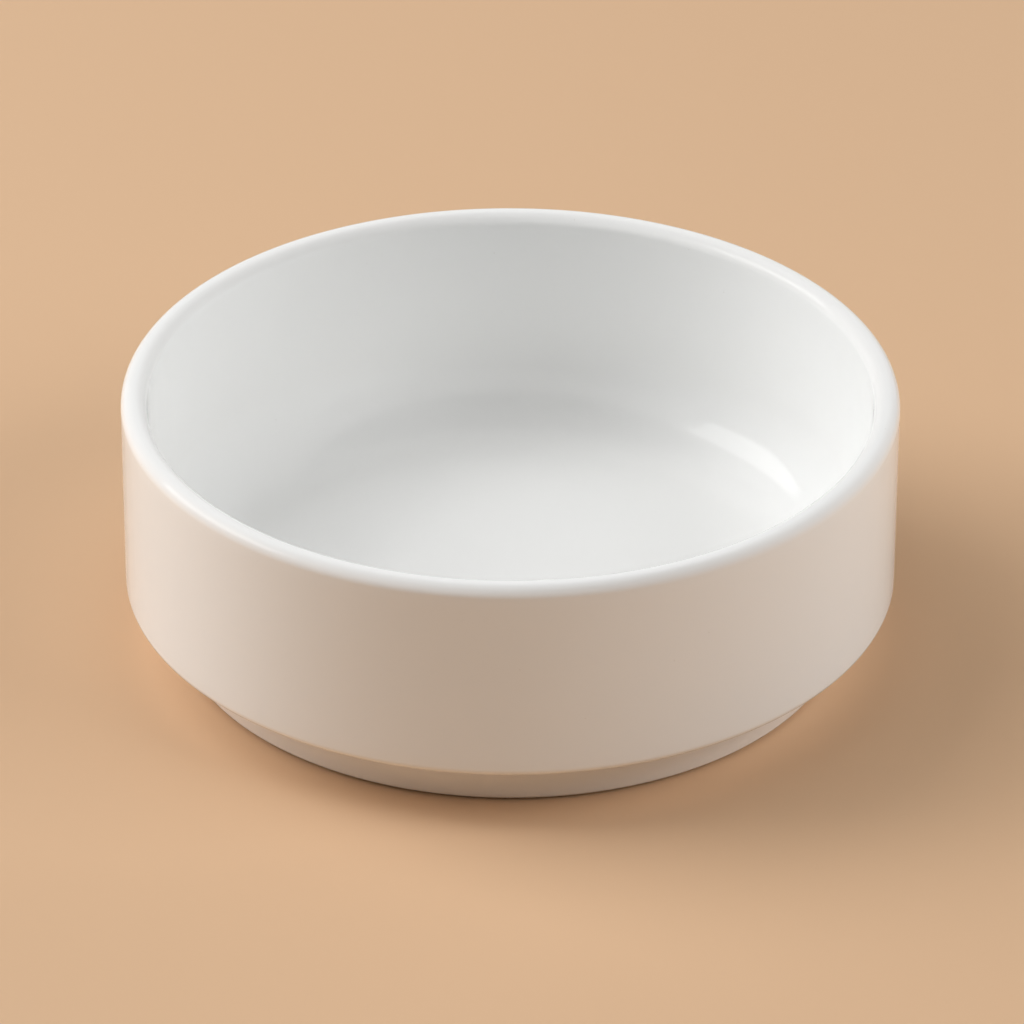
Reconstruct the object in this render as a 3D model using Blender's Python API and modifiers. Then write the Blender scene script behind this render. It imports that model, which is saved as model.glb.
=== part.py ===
"""Low stacking compote bowl in white glazed porcelain.

The ware is one fired body under two separate areas of glaze. The main coat runs from the bevel round the foot
up the wall, over the lip and across the inside floor. The other lies in the recess under the floor. The foot
ring between them is bare, because glaze there would stick to the kiln shelf. All three are turned about Z.
The section is worked out once, for the body. Both faces of the glaze follow it at a fixed distance.
"""

import math

import bpy
from mathutils import Vector

# Glazed ware, in metres
RIM_DIAMETER = 0.1200
HEIGHT = 0.0422
LIP_THICKNESS = 0.0040
LIP_ROUND = 0.0019
WALL_BASE_THICKNESS = 0.0046
INSIDE_ROUND = 0.0120
FLOOR_THICKNESS = 0.0038

# Stacking step: the ledge sits on the lip of the bowl below, and the foot drops inside that lip
LEDGE_HEIGHT = 0.00925
SHOULDER_ROUND = 0.0015
STACK_CLEARANCE = 0.0020
LEDGE_FILLET = 0.0030

# Bare foot ring and the recess inside it
FOOT_DIAMETER = 0.1029
FOOT_RING_WIDTH = 0.0042
FOOT_BEVEL = 0.0010
FOOT_EDGE_ROUND = 0.0008
RECESS_DEPTH = 0.0024
RECESS_DRAFT = 0.0008
RECESS_FILLET = 0.0012

# Glaze, and how far above the table it is wiped off on the inside of the foot ring
GLAZE_THICKNESS = 0.0003
BOND_GAP = 0.0001
GLAZE_LINE = 0.0011
COAT = BOND_GAP + GLAZE_THICKNESS

# Fineness of the turned surfaces
TURN_STEPS = 48
ARC_STEP = math.radians(20)
AXIS_MERGE = 0.00001

# Linear colour and roughness of each piece
BISCUIT_WHITE = (0.80, 0.77, 0.71, 1.0)
BISCUIT_ROUGHNESS = 0.65
GLAZE_WHITE = (0.86, 0.86, 0.84, 1.0)
GLAZE_ROUGHNESS = 0.08
UNDERSIDE_WHITE = (0.83, 0.83, 0.80, 1.0)
UNDERSIDE_ROUGHNESS = 0.14


def clear_scene():
    for obj in list(bpy.data.objects):
        bpy.data.objects.remove(obj, do_unlink=True)


def point_at_height(start, end, height):
    """The point of the line from start to end at this height."""
    share = (height - start.y) / (end.y - start.y)
    return start.lerp(end, share)


def body_corners():
    """Corners of the body's section as (radius, height) and round, in three runs.

    The runs are the glazed inside, lip and outside, then the bare foot, then the glazed recess. The first
    starts in the middle of the floor, and the last ends in the middle of the underside.
    """
    rim = RIM_DIAMETER / 2
    lip_inside = rim - LIP_THICKNESS
    floor = RECESS_DEPTH + FLOOR_THICKNESS
    foot_outside = FOOT_DIAMETER / 2
    foot_inside = foot_outside - FOOT_RING_WIDTH

    floor_centre = Vector((0, floor - COAT))
    floor_corner = Vector((rim - WALL_BASE_THICKNESS + COAT, floor - COAT))
    lip_inner = Vector((lip_inside + COAT, HEIGHT - COAT))
    lip_outer = Vector((rim - COAT, HEIGHT - COAT))
    shoulder = Vector((rim - COAT, LEDGE_HEIGHT + COAT))
    ledge_corner = Vector((lip_inside - STACK_CLEARANCE - COAT, LEDGE_HEIGHT + COAT))
    foot_corner = Vector((foot_outside, 0))
    bevel_top = point_at_height(ledge_corner, foot_corner, FOOT_BEVEL)
    bevel_bottom = Vector((foot_outside - FOOT_BEVEL, 0))
    foot_inner = Vector((foot_inside, 0))
    recess_corner = Vector((foot_inside - RECESS_DRAFT, RECESS_DEPTH + COAT))
    recess_centre = Vector((0, RECESS_DEPTH + COAT))
    outer_glaze_edge = bevel_top.lerp(bevel_bottom, 0.5)
    inner_glaze_edge = point_at_height(foot_inner, recess_corner, GLAZE_LINE)

    main_coat = [
        (floor_centre, 0),
        (floor_corner, INSIDE_ROUND + COAT),
        (lip_inner, LIP_ROUND - COAT),
        (lip_outer, LIP_ROUND - COAT),
        (shoulder, SHOULDER_ROUND - COAT),
        (ledge_corner, LEDGE_FILLET + COAT),
        (bevel_top, FOOT_EDGE_ROUND),
        (outer_glaze_edge, 0),
    ]
    bare_foot = [
        (bevel_bottom, FOOT_EDGE_ROUND),
        (foot_inner, FOOT_EDGE_ROUND),
    ]
    recess_coat = [
        (inner_glaze_edge, 0),
        (recess_corner, RECESS_FILLET + COAT),
        (recess_centre, 0),
    ]
    return main_coat, bare_foot, recess_coat


def outward(direction):
    """The side that faces out of the material, walking the section from the inside floor over the lip."""
    return Vector((-direction.y, direction.x))


def corner_points(before, corner, after, radius):
    """Points and outward normals round one corner. The round is limited by its two walls."""
    arriving = (corner - before).normalized()
    leaving = (after - corner).normalized()
    turn = arriving.angle_signed(leaving) * -1
    if radius <= 0 or abs(turn) < 1e-6:
        return [(corner, outward(arriving))]
    bend = math.tan(abs(turn) / 2)
    reach = min(radius * bend, (corner - before).length / 2, (after - corner).length / 2)
    radius = reach / bend
    side = math.copysign(radius, turn)
    start_normal = outward(arriving)
    centre = corner - arriving * reach + start_normal * side
    steps = math.ceil(abs(turn) / ARC_STEP)
    found = []
    for step in range(steps + 1):
        angle = turn * step / steps
        normal = Vector((
            start_normal.x * math.cos(angle) - start_normal.y * math.sin(angle),
            start_normal.x * math.sin(angle) + start_normal.y * math.cos(angle),
        ))
        found.append((centre - normal * side, normal))
    return found


def section_runs():
    """The three runs of the body's section, each as a list of points with outward normals."""
    runs = body_corners()
    corners = [corner for run in runs for corner in run]
    places = [place for place, _ in corners]
    found = []
    index = 0
    for run in runs:
        points = []
        for place, radius in run:
            if index == 0:
                points.append((place, outward(places[1] - place).normalized()))
            elif index == len(places) - 1:
                points.append((place, outward(place - places[index - 1]).normalized()))
            else:
                points += corner_points(places[index - 1], place, places[index + 1], radius)
            index += 1
        found.append(points)
    return found


def raised(points, distance):
    """The run's points moved square to the surface, out of the material."""
    return [place + normal * distance for place, normal in points]


def material(name, colour, roughness):
    made = bpy.data.materials.new(name)
    made.use_nodes = True
    shader = made.node_tree.nodes["Principled BSDF"]
    shader.inputs["Base Color"].default_value = colour
    shader.inputs["Roughness"].default_value = roughness
    shader.inputs["Metallic"].default_value = 0
    made.diffuse_color = colour
    return made


def turned(name, section, finish, collection):
    """A solid turned about Z from a section that runs down its outer side, from axis to axis."""
    mesh = bpy.data.meshes.new(name)
    points = [(place.x, 0, place.y) for place in section]
    edges = [(index, index + 1) for index in range(len(points) - 1)]
    mesh.from_pydata(points, edges, [])
    mesh.materials.append(finish)
    obj = bpy.data.objects.new(name, mesh)
    collection.objects.link(obj)
    screw = obj.modifiers.new("turn", "SCREW")
    screw.axis = "Z"
    screw.angle = math.tau
    screw.screw_offset = 0
    screw.steps = TURN_STEPS
    screw.render_steps = TURN_STEPS
    screw.use_merge_vertices = True
    screw.merge_threshold = AXIS_MERGE
    screw.use_smooth_shade = True
    return obj


def porcelain_body(collection):
    main_coat, bare_foot, recess_coat = section_runs()
    section = raised(main_coat + bare_foot + recess_coat, 0)
    finish = material("biscuit_porcelain", BISCUIT_WHITE, BISCUIT_ROUGHNESS)
    turned("porcelain_body", section, finish, collection)


def glaze_coat(collection):
    main_coat = section_runs()[0]
    section = raised(main_coat, COAT) + raised(reversed(main_coat), BOND_GAP)
    finish = material("white_glaze", GLAZE_WHITE, GLAZE_ROUGHNESS)
    turned("glaze_coat", section, finish, collection)


def underside_glaze(collection):
    recess_coat = section_runs()[2]
    section = raised(reversed(recess_coat), BOND_GAP) + raised(recess_coat, COAT)
    finish = material("underside_glaze", UNDERSIDE_WHITE, UNDERSIDE_ROUGHNESS)
    turned("underside_glaze", section, finish, collection)


def main():
    clear_scene()
    bowl = bpy.data.collections.new("compote_bowl")
    bpy.context.scene.collection.children.link(bowl)
    porcelain_body(bowl)
    glaze_coat(bowl)
    underside_glaze(bowl)


main()
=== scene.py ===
"""Looks of a low stacking compote bowl in white glazed porcelain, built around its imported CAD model.

The three pieces repeat the section of the CAD model in finer turns. The glaze thins out to a rolled edge
beside the bare foot ring, and it has the slight waves, pooling and specks of a fired coat.
"""

import math
from dataclasses import dataclass

import bpy
from mathutils import Euler, Matrix, Vector, noise

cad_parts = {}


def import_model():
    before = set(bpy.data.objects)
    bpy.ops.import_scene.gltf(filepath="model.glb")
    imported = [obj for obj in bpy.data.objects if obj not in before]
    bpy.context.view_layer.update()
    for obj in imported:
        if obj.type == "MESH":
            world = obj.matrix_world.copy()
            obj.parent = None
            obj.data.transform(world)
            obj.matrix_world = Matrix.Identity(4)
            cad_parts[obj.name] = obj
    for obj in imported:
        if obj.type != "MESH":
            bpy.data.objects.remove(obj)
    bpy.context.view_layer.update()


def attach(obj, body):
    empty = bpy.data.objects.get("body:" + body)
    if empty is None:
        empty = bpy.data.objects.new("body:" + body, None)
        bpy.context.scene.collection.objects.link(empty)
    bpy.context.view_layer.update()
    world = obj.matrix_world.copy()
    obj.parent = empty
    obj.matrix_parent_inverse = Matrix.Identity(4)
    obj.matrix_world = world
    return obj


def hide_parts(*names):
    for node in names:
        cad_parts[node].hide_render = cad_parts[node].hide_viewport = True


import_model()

# Section of the glazed ware, in metres, as in the CAD model
RIM_DIAMETER = 0.1200
HEIGHT = 0.0422
LIP_THICKNESS = 0.0040
LIP_ROUND = 0.0019
WALL_BASE_THICKNESS = 0.0046
INSIDE_ROUND = 0.0120
FLOOR_THICKNESS = 0.0038
LEDGE_HEIGHT = 0.00925
SHOULDER_ROUND = 0.0015
STACK_CLEARANCE = 0.0020
LEDGE_FILLET = 0.0030
FOOT_DIAMETER = 0.1029
FOOT_RING_WIDTH = 0.0042
FOOT_BEVEL = 0.0010
FOOT_EDGE_ROUND = 0.0008
RECESS_DEPTH = 0.0024
RECESS_DRAFT = 0.0008
RECESS_FILLET = 0.0012
GLAZE_THICKNESS = 0.0003
BOND_GAP = 0.0001
GLAZE_LINE = 0.0011
COAT = BOND_GAP + GLAZE_THICKNESS

# Fineness of the turned surfaces, seen and hidden under glaze
TURN_STEPS = 192
FINE_ARC = math.radians(6)
FINE_SPACING = 0.0022
HIDDEN_ARC = math.radians(15)
HIDDEN_SPACING = 0.0150
STRAIGHT_TURN = 1e-6

# Unevenness of the fired glaze
EDGE_ROLL = 0.0004
ROLL_STEPS = 6
EDGE_WANDER = 0.00018
WANDER_REACH = 0.0012
WANDER_TURNS = 2.3
WAVE_DEPTH = 0.00003
WAVE_LENGTH = 0.016
AXIS_CALM = 0.012
POOL_ROUND = 0.0030

# Clouds, specks, smears and ripples of the glaze: scales per metre, and ranges of noise or tone
CLOUD_SCALE = 38.0
CLOUD_DETAIL = 3.0
CLOUD_NOISE = (0.25, 0.75)
CLOUD_TONE = (0.38, 0.62)
POOL_TONE = 0.38
SPECK_SCALE = 190.0
SPECK_EDGE = (0.014, 0.026)
SPECK_STRENGTH = 0.22
SMEAR_SCALE = 52.0
SMEAR_DETAIL = 4.0
SMEAR_NOISE = (0.3, 0.7)
RIPPLE_SCALE = 230.0
RIPPLE_STRENGTH = 0.10
RIPPLE_DEPTH = 0.0001

# Turning marks in the recess, then the grain and the grinding marks of the bare foot ring
TURNING_SPACING = 0.0026
TURNING_DISTORTION = 1.2
TURNING_STRENGTH = 0.12
TURNING_DEPTH = 0.0001
GRAIN_SCALE = 1500.0
GRAIN_DETAIL = 4.0
GRAIN_NOISE = (0.30, 0.70)
GRINDING_SPACING = 0.00034
GRINDING_DISTORTION = 3.0
GRINDING_ROUGHNESS = (0.58, 0.72)
GRINDING_STRENGTH = 0.25
GRINDING_DEPTH = 0.00005

# Plain detail of noise and rings, and the wave texture's own radians per metre at scale 1
PLAIN_DETAIL = 2.0
RING_DETAIL_SCALE = 0.3
RING_RATE = 20

# Colour sockets of the mix node, which also has sockets for other kinds of value
MIX_FIRST = 6
MIX_SECOND = 7
MIX_RESULT = 2

# Camera of the photograph
CAMERA_PLACE = (0, -0.93714, 0.57406)
CAMERA_PITCH = math.radians(59.405)
CAMERA_HEADING = math.radians(-0.018)
CAMERA_ROLL = math.radians(0.174)
CAMERA_LENS = 246.1
SENSOR_WIDTH = 36.0
CAMERA_REACH = 100

# Lights and floor
LIGHT_TARGET = Vector((0, 0, 0.030))
LAMP_DISTANCE = 1.4
FLOOR_SIZE = 24.0
FLOOR_COLOUR = (0.72, 0.48, 0.30, 1.0)
FLOOR_ROUGHNESS = 0.7
FLOOR_SHINE = 0.15
BACKGROUND_COLOUR = (0.80, 0.79, 0.77, 1.0)
AMBIENT_COLOUR = (1.0, 1.0, 1.0, 1.0)
AMBIENT_STRENGTH = 0.06
CEILING_WAY = Vector((0, -0.17, 0.985))
CEILING_SPREAD = math.radians(33)
CEILING_FADE = math.radians(9)
CEILING_STRENGTH = 0.05


@dataclass
class Ring:
    """One turned ring of a piece: its place in the section as (radius, height), and how it varies."""

    place: Vector
    normal: Vector
    pool: float = 0.0
    wave: float = 0.0
    wander: Vector = Vector((0, 0))


def point_at_height(start, end, height):
    """The point of the line from start to end at this height."""
    share = (height - start.y) / (end.y - start.y)
    return start.lerp(end, share)


def body_corners():
    """Corners of the body's section as place and round, in three runs.

    The runs are the glazed inside, lip and outside, then the bare foot, then the glazed recess.
    """
    rim = RIM_DIAMETER / 2
    lip_inside = rim - LIP_THICKNESS
    floor = RECESS_DEPTH + FLOOR_THICKNESS
    foot_outside = FOOT_DIAMETER / 2
    foot_inside = foot_outside - FOOT_RING_WIDTH

    floor_centre = Vector((0, floor - COAT))
    floor_corner = Vector((rim - WALL_BASE_THICKNESS + COAT, floor - COAT))
    lip_inner = Vector((lip_inside + COAT, HEIGHT - COAT))
    lip_outer = Vector((rim - COAT, HEIGHT - COAT))
    shoulder = Vector((rim - COAT, LEDGE_HEIGHT + COAT))
    ledge_corner = Vector((lip_inside - STACK_CLEARANCE - COAT, LEDGE_HEIGHT + COAT))
    foot_corner = Vector((foot_outside, 0))
    bevel_top = point_at_height(ledge_corner, foot_corner, FOOT_BEVEL)
    bevel_bottom = Vector((foot_outside - FOOT_BEVEL, 0))
    foot_inner = Vector((foot_inside, 0))
    recess_corner = Vector((foot_inside - RECESS_DRAFT, RECESS_DEPTH + COAT))
    recess_centre = Vector((0, RECESS_DEPTH + COAT))
    outer_glaze_edge = bevel_top.lerp(bevel_bottom, 0.5)
    inner_glaze_edge = point_at_height(foot_inner, recess_corner, GLAZE_LINE)

    main_coat = [
        (floor_centre, 0),
        (floor_corner, INSIDE_ROUND + COAT),
        (lip_inner, LIP_ROUND - COAT),
        (lip_outer, LIP_ROUND - COAT),
        (shoulder, SHOULDER_ROUND - COAT),
        (ledge_corner, LEDGE_FILLET + COAT),
        (bevel_top, FOOT_EDGE_ROUND),
        (outer_glaze_edge, 0),
    ]
    bare_foot = [
        (bevel_bottom, FOOT_EDGE_ROUND),
        (foot_inner, FOOT_EDGE_ROUND),
    ]
    recess_coat = [
        (inner_glaze_edge, 0),
        (recess_corner, RECESS_FILLET + COAT),
        (recess_centre, 0),
    ]
    return main_coat, bare_foot, recess_coat


def outward(direction):
    """The side that faces out of the material, walking the section from the inside floor over the lip."""
    return Vector((-direction.y, direction.x))


def corner_rings(before, corner, after, radius, arc):
    """Rings round one corner. Glaze pools in a hollow corner and thins on a raised one."""
    arriving = (corner - before).normalized()
    leaving = (after - corner).normalized()
    turn = arriving.angle_signed(leaving) * -1
    if radius <= 0 or abs(turn) < STRAIGHT_TURN:
        return [Ring(corner, outward(arriving))]
    bend = math.tan(abs(turn) / 2)
    reach = min(radius * bend, (corner - before).length / 2, (after - corner).length / 2)
    radius = reach / bend
    side = math.copysign(radius, turn)
    start_normal = outward(arriving)
    centre = corner - arriving * reach + start_normal * side
    pool = math.copysign(min(1, POOL_ROUND / radius), turn)
    steps = math.ceil(abs(turn) / arc)
    found = []
    for step in range(steps + 1):
        angle = turn * step / steps
        normal = Vector((
            start_normal.x * math.cos(angle) - start_normal.y * math.sin(angle),
            start_normal.x * math.sin(angle) + start_normal.y * math.cos(angle),
        ))
        found.append(Ring(centre - normal * side, normal, pool * math.sin(math.pi * step / steps)))
    return found


def filled(rings, spacing):
    """The rings with more between them where they lie further apart than this."""
    found = [rings[0]]
    for start, end in zip(rings, rings[1:]):
        parts = math.ceil((end.place - start.place).length / spacing)
        for part in range(1, parts):
            share = part / parts
            found.append(Ring(start.place.lerp(end.place, share), start.normal.lerp(end.normal, share)))
        found.append(end)
    return found


def section_runs(arc, spacing):
    """The three runs of the body's section as rings, from the inside floor to the underside."""
    runs = body_corners()
    places = [place for run in runs for place, _ in run]
    found = []
    index = 0
    for run in runs:
        rings = []
        for place, radius in run:
            if index == 0:
                rings.append(Ring(place, outward(places[1] - place).normalized()))
            elif index == len(places) - 1:
                rings.append(Ring(place, outward(place - places[index - 1]).normalized()))
            else:
                rings += corner_rings(places[index - 1], place, places[index + 1], radius, arc)
            index += 1
        found.append(filled(rings, spacing))
    return found


def raised(rings, distance):
    """The rings moved square to the surface, out of the material."""
    return [Ring(ring.place + ring.normal * distance, ring.normal, ring.pool) for ring in rings]


def glaze_rings(fine, hidden):
    """A coat of glaze from the axis along a run to a rolled edge, then back along its bond."""
    edge = fine[-1]
    along = (edge.place - fine[-2].place).normalized()
    start = edge.place - along * EDGE_ROLL
    end = edge.place + edge.normal * COAT
    face = [ring for ring in raised(fine, COAT) if (ring.place - end).length > EDGE_ROLL]
    for step in range(ROLL_STEPS + 1):
        angle = math.pi / 2 * step / ROLL_STEPS
        lift = BOND_GAP + GLAZE_THICKNESS * math.cos(angle)
        place = start + along * EDGE_ROLL * math.sin(angle) + edge.normal * lift
        face.append(Ring(place, edge.normal * math.cos(angle) + along * math.sin(angle)))
    for ring in face:
        ring.wave = min(1, ring.place.x / AXIS_CALM)
    bond = raised(reversed(hidden), BOND_GAP)[1:]
    rings = face + bond
    for ring in rings:
        near = max(0, 1 - (ring.place - edge.place).length / WANDER_REACH)
        ring.wave *= 1 - near
        ring.wander = along * near * near
    return rings


def turned(name, rings, finish, node):
    """A closed piece turned about Z from rings that start and end on the axis, in place of a CAD node."""
    points = []
    pools = []
    for ring in rings[1:-1]:
        for step in range(TURN_STEPS):
            angle = math.tau * step / TURN_STEPS
            around = Vector((math.cos(angle), math.sin(angle), 0))
            spot = around * ring.place.x + Vector((0, 0, ring.place.y))
            wave = 0.5 + 0.5 * noise.noise(spot / WAVE_LENGTH)
            wander = noise.noise(around * WANDER_TURNS)
            place = ring.place - ring.normal * (WAVE_DEPTH * ring.wave * wave)
            place = place + ring.wander * (EDGE_WANDER * wander)
            points.append(around * place.x + Vector((0, 0, place.y)))
            pools.append(ring.pool)
    first = len(points)
    last = first + 1
    points += [Vector((0, 0, rings[0].place.y)), Vector((0, 0, rings[-1].place.y))]
    pools += [rings[0].pool, rings[-1].pool]

    faces = []
    ring_count = len(rings) - 2
    for step in range(TURN_STEPS):
        following = (step + 1) % TURN_STEPS
        for ring in range(ring_count - 1):
            inner = ring * TURN_STEPS
            outer = inner + TURN_STEPS
            faces.append((inner + step, outer + step, outer + following, inner + following))
        end = (ring_count - 1) * TURN_STEPS
        faces.append((first, step, following))
        faces.append((last, end + following, end + step))

    mesh = bpy.data.meshes.new(name)
    mesh.from_pydata(points, [], faces)
    mesh.polygons.foreach_set("use_smooth", [True] * len(faces))
    mesh.attributes.new("pool", "FLOAT", "POINT").data.foreach_set("value", pools)
    mesh.materials.append(finish)
    piece = bpy.data.objects.new(name, mesh)
    bpy.context.scene.collection.objects.link(piece)
    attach(piece, "root")
    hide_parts(node)
    return piece


class Finish:
    """A material with one Principled shader and the nodes that vary it."""

    def __init__(self, name):
        self.material = bpy.data.materials.new(name)
        self.material.use_nodes = True
        self.tree = self.material.node_tree
        self.shader = self.tree.nodes["Principled BSDF"]
        self.spot = self.node("ShaderNodeTexCoord").outputs["Object"]

    def node(self, kind, **inputs):
        made = self.tree.nodes.new(kind)
        for name, value in inputs.items():
            self.feed(made.inputs[name.replace("_", " ")], value)
        return made

    def feed(self, socket, value):
        if isinstance(value, bpy.types.NodeSocket):
            self.tree.links.new(value, socket)
        else:
            socket.default_value = value

    def noise(self, scale, detail=PLAIN_DETAIL):
        made = self.node("ShaderNodeTexNoise", Vector=self.spot, Scale=scale, Detail=detail)
        return made.outputs["Fac"]

    def rings(self, spacing, distortion):
        """Waves round the axis, this far apart in metres."""
        scale = math.tau / (RING_RATE * spacing)
        wave = self.node("ShaderNodeTexWave", Vector=self.spot, Scale=scale, Distortion=distortion)
        wave.wave_type = "RINGS"
        wave.rings_direction = "Z"
        wave.inputs["Detail"].default_value = PLAIN_DETAIL
        wave.inputs["Detail Scale"].default_value = RING_DETAIL_SCALE
        return wave.outputs["Fac"]

    def ranged(self, value, source, target):
        """The value with the source range stretched to the target range."""
        made = self.node("ShaderNodeMapRange", Value=value)
        made.inputs["From Min"].default_value = source[0]
        made.inputs["From Max"].default_value = source[1]
        made.inputs["To Min"].default_value = target[0]
        made.inputs["To Max"].default_value = target[1]
        return made.outputs["Result"]

    def total(self, first, second):
        made = self.tree.nodes.new("ShaderNodeMath")
        made.operation = "ADD"
        self.feed(made.inputs[0], first)
        self.feed(made.inputs[1], second)
        return made.outputs["Value"]

    def ramp(self, value, *stops):
        made = self.node("ShaderNodeValToRGB", Fac=value)
        elements = made.color_ramp.elements
        while len(elements) < len(stops):
            elements.new(0.5)
        for element, (place, colour) in zip(elements, stops):
            element.position = place
            element.color = colour
        return made.outputs["Color"]

    def mixed(self, share, first, second):
        made = self.tree.nodes.new("ShaderNodeMix")
        made.data_type = "RGBA"
        self.feed(made.inputs["Factor"], share)
        self.feed(made.inputs[MIX_FIRST], first)
        self.feed(made.inputs[MIX_SECOND], second)
        return made.outputs[MIX_RESULT]

    def bumped(self, height, strength, distance):
        made = self.node("ShaderNodeBump", Height=height, Strength=strength, Distance=distance)
        self.feed(self.shader.inputs["Normal"], made.outputs["Normal"])

    def attribute(self, name):
        made = self.node("ShaderNodeAttribute")
        made.attribute_name = name
        return made.outputs["Fac"]


def glaze_finish(name, thin, even, pooled, speck, roughness):
    """Clear glossy glaze over white porcelain, a little warmer where it is thin and cooler where it pools."""
    finish = Finish(name)
    cloud = finish.ranged(finish.noise(CLOUD_SCALE, CLOUD_DETAIL), CLOUD_NOISE, CLOUD_TONE)
    pool = finish.ranged(finish.attribute("pool"), (-1, 1), (-POOL_TONE, POOL_TONE))
    tone = finish.ramp(finish.total(cloud, pool), (0.0, thin), (0.5, even), (1.0, pooled))
    grains = finish.node("ShaderNodeTexVoronoi", Vector=finish.spot, Scale=SPECK_SCALE).outputs["Distance"]
    specks = finish.ranged(grains, SPECK_EDGE, (SPECK_STRENGTH, 0))
    finish.feed(finish.shader.inputs["Base Color"], finish.mixed(specks, tone, speck))
    smears = finish.noise(SMEAR_SCALE, SMEAR_DETAIL)
    finish.feed(finish.shader.inputs["Roughness"], finish.ranged(smears, SMEAR_NOISE, roughness))
    return finish


def white_glaze():
    finish = glaze_finish(
        "white_glaze",
        thin=(0.920, 0.914, 0.898, 1),
        even=(0.918, 0.918, 0.906, 1),
        pooled=(0.900, 0.909, 0.901, 1),
        speck=(0.46, 0.40, 0.33, 1),
        roughness=(0.035, 0.060),
    )
    finish.bumped(finish.noise(RIPPLE_SCALE), RIPPLE_STRENGTH, RIPPLE_DEPTH)
    return finish.material


def recess_glaze():
    finish = glaze_finish(
        "recess_glaze",
        thin=(0.838, 0.828, 0.800, 1),
        even=(0.836, 0.834, 0.812, 1),
        pooled=(0.808, 0.818, 0.804, 1),
        speck=(0.42, 0.36, 0.29, 1),
        roughness=(0.09, 0.16),
    )
    finish.bumped(finish.rings(TURNING_SPACING, TURNING_DISTORTION), TURNING_STRENGTH, TURNING_DEPTH)
    return finish.material


def bare_porcelain():
    """Unglazed porcelain: matt, a little warm, with fine grain and the marks of the grinding wheel."""
    finish = Finish("bare_porcelain")
    grain = finish.noise(GRAIN_SCALE, GRAIN_DETAIL)
    marks = finish.rings(GRINDING_SPACING, GRINDING_DISTORTION)
    dark = (GRAIN_NOISE[0], (0.742, 0.706, 0.640, 1))
    light = (GRAIN_NOISE[1], (0.822, 0.795, 0.738, 1))
    finish.feed(finish.shader.inputs["Base Color"], finish.ramp(grain, dark, light))
    finish.feed(finish.shader.inputs["Roughness"], finish.ranged(marks, (0, 1), GRINDING_ROUGHNESS))
    finish.bumped(finish.total(grain, marks), GRINDING_STRENGTH, GRINDING_DEPTH)
    return finish.material


def bowl():
    """The body, coarse where glaze hides it, and its two areas of glaze."""
    main_fine, foot_fine, recess_fine = section_runs(FINE_ARC, FINE_SPACING)
    main_hidden, _, recess_hidden = section_runs(HIDDEN_ARC, HIDDEN_SPACING)
    foot = filled([main_hidden[-1]] + foot_fine + [recess_hidden[0]], FINE_SPACING)[1:-1]
    body = raised(main_hidden + foot + recess_hidden, 0)
    turned("bowl_body", body, bare_porcelain(), "porcelain_body")
    turned("bowl_glaze", glaze_rings(main_fine, main_hidden), white_glaze(), "glaze_coat")
    recess = glaze_rings(recess_fine[::-1], recess_hidden[::-1])[::-1]
    turned("bowl_recess_glaze", recess, recess_glaze(), "underside_glaze")


def camera():
    made = bpy.data.objects.new("camera", bpy.data.cameras.new("camera"))
    made.data.sensor_width = SENSOR_WIDTH
    made.data.lens = CAMERA_LENS
    made.data.clip_end = CAMERA_REACH
    facing = Euler((CAMERA_PITCH, 0, CAMERA_HEADING)).to_matrix()
    facing = facing @ Matrix.Rotation(CAMERA_ROLL, 3, "Z")
    made.matrix_world = Matrix.Translation(CAMERA_PLACE) @ facing.to_4x4()
    bpy.context.scene.collection.objects.link(made)
    bpy.context.scene.camera = made


def lamp(name, azimuth, elevation, tilt, width, height, radiance):
    """A soft rectangular lamp that faces the bowl.

    Its azimuth runs from the back (+Y) towards the left (-X). Angles are in degrees.
    """
    light = bpy.data.lights.new(name, "AREA")
    light.shape = "RECTANGLE"
    light.size = width
    light.size_y = height
    light.energy = radiance * math.pi * width * height
    made = bpy.data.objects.new(name, light)
    turn = math.radians(azimuth)
    rise = math.radians(elevation)
    way = Vector((-math.sin(turn) * math.cos(rise), math.cos(turn) * math.cos(rise), math.sin(rise)))
    made.location = LIGHT_TARGET + way * LAMP_DISTANCE
    made.rotation_euler = way.to_track_quat("Z", "Y").to_euler()
    made.rotation_euler.rotate_axis("Z", math.radians(tilt))
    bpy.context.scene.collection.objects.link(made)
    return made


def lights():
    """Soft light from both sides, and a window at the left that only shows as a reflection in the glaze."""
    # Azimuth, elevation and tilt, then width and height, then radiance
    soft = [
        lamp("left", 73, 21, 41, 1.26, 0.59, 3.2),
        lamp("left_mid", 76, 40, 0, 1.00, 0.50, 3.3),
        lamp("left_high", 72, 57, 0, 0.95, 0.75, 2.9),
        lamp("left_front", 115, 35, 0, 0.80, 0.90, 1.0),
        lamp("right", 252, 36, 0, 0.98, 0.70, 4.1),
        lamp("right_back", 300, 14, 0, 0.90, 0.60, 2.8),
    ]
    for made in soft:
        made.visible_glossy = False
    window = lamp("window", 82, 33, 21, 1.02, 0.59, 1.7)
    window.visible_diffuse = False


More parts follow.
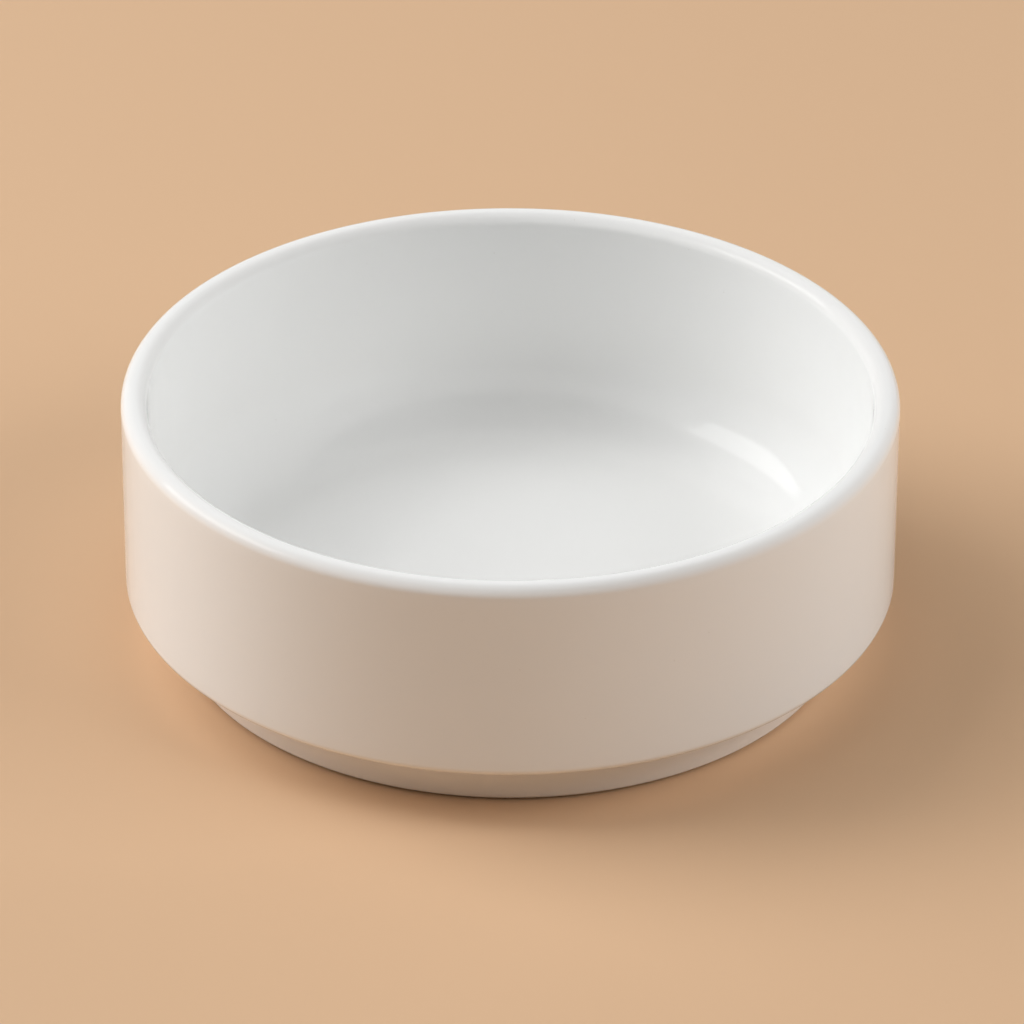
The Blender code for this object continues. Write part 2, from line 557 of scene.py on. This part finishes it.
def world():
    """Dim light all round. The camera and reflections see a pale background instead, with a dark ceiling."""
    made = bpy.data.worlds.new("studio")
    made.use_nodes = True
    tree = made.node_tree
    ambient = tree.nodes["Background"]
    ambient.inputs["Color"].default_value = AMBIENT_COLOUR
    ambient.inputs["Strength"].default_value = AMBIENT_STRENGTH
    seen = tree.nodes.new("ShaderNodeBackground")
    seen.inputs["Color"].default_value = BACKGROUND_COLOUR
    way = tree.nodes.new("ShaderNodeTexCoord")
    ceiling = tree.nodes.new("ShaderNodeVectorMath")
    ceiling.operation = "DOT_PRODUCT"
    ceiling.inputs[1].default_value = CEILING_WAY
    fade = tree.nodes.new("ShaderNodeMapRange")
    fade.inputs["From Min"].default_value = math.cos(CEILING_SPREAD + CEILING_FADE)
    fade.inputs["From Max"].default_value = math.cos(CEILING_SPREAD)
    fade.inputs["To Min"].default_value = 1.0
    fade.inputs["To Max"].default_value = CEILING_STRENGTH
    path = tree.nodes.new("ShaderNodeLightPath")
    either = tree.nodes.new("ShaderNodeMath")
    either.operation = "MAXIMUM"
    choice = tree.nodes.new("ShaderNodeMixShader")
    tree.links.new(way.outputs["Generated"], ceiling.inputs[0])
    tree.links.new(ceiling.outputs["Value"], fade.inputs["Value"])
    tree.links.new(fade.outputs["Result"], seen.inputs["Strength"])
    tree.links.new(path.outputs["Is Camera Ray"], either.inputs[0])
    tree.links.new(path.outputs["Is Glossy Ray"], either.inputs[1])
    tree.links.new(either.outputs["Value"], choice.inputs["Fac"])
    tree.links.new(ambient.outputs["Background"], choice.inputs[1])
    tree.links.new(seen.outputs["Background"], choice.inputs[2])
    tree.links.new(choice.outputs["Shader"], tree.nodes["World Output"].inputs["Surface"])
    bpy.context.scene.world = made


def floor():
    half = FLOOR_SIZE / 2
    corners = [(-half, -half, 0), (half, -half, 0), (half, half, 0), (-half, half, 0)]
    mesh = bpy.data.meshes.new("floor")
    mesh.from_pydata(corners, [], [(0, 1, 2, 3)])
    finish = bpy.data.materials.new("pale_floor")
    finish.use_nodes = True
    shader = finish.node_tree.nodes["Principled BSDF"]
    shader.inputs["Base Color"].default_value = FLOOR_COLOUR
    shader.inputs["Roughness"].default_value = FLOOR_ROUGHNESS
    shader.inputs["Specular IOR Level"].default_value = FLOOR_SHINE
    mesh.materials.append(finish)
    made = bpy.data.objects.new("floor", mesh)
    bpy.context.scene.collection.objects.link(made)


camera()
bowl()
floor()
lights()
world()
bpy.context.scene.view_settings.view_transform = "Standard"
